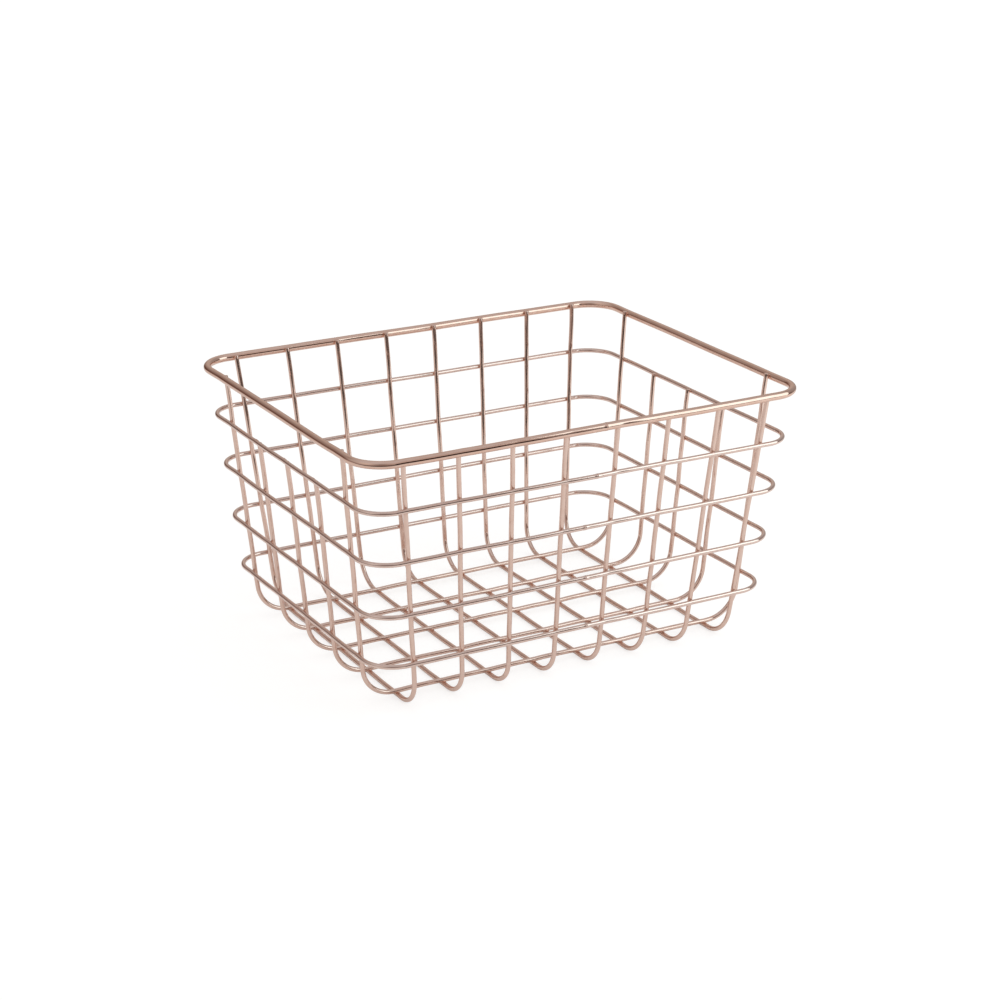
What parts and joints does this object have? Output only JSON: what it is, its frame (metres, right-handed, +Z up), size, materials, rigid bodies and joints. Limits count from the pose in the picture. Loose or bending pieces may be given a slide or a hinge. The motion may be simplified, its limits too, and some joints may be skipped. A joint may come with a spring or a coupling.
{
  "type": "wire storage basket",
  "caption": "Tapered open-top storage basket of rose-gold plated steel wire, with a stout rim, side hoops, crossing bent ribs and a hand-hold gap under the rim at each end.",
  "frame": {"origin": "on the standing surface, under the middle of the basket", "axes": "+X along the long side, +Y from the front to the back, +Z up through the open top"},
  "size_m": [0.315, 0.2541, 0.1722],
  "materials": {
    "rose_gold_plate": "polished"
  },
  "bodies": {
    "root": {"rim_hoop": "rose_gold_plate", "side_hoop_1": "rose_gold_plate", "side_hoop_2": "rose_gold_plate", "side_hoop_3": "rose_gold_plate", "side_hoop_4": "rose_gold_plate", "cross_rib_1": "rose_gold_plate", "cross_rib_2": "rose_gold_plate", "cross_rib_3": "rose_gold_plate", "cross_rib_4": "rose_gold_plate", "cross_rib_5": "rose_gold_plate", "cross_rib_6": "rose_gold_plate", "cross_rib_7": "rose_gold_plate", "cross_rib_8": "rose_gold_plate", "long_rib_1": "rose_gold_plate", "long_rib_2": "rose_gold_plate", "long_rib_3": "rose_gold_plate", "long_rib_4": "rose_gold_plate", "long_rib_5": "rose_gold_plate"}
  },
  "joints": []
}
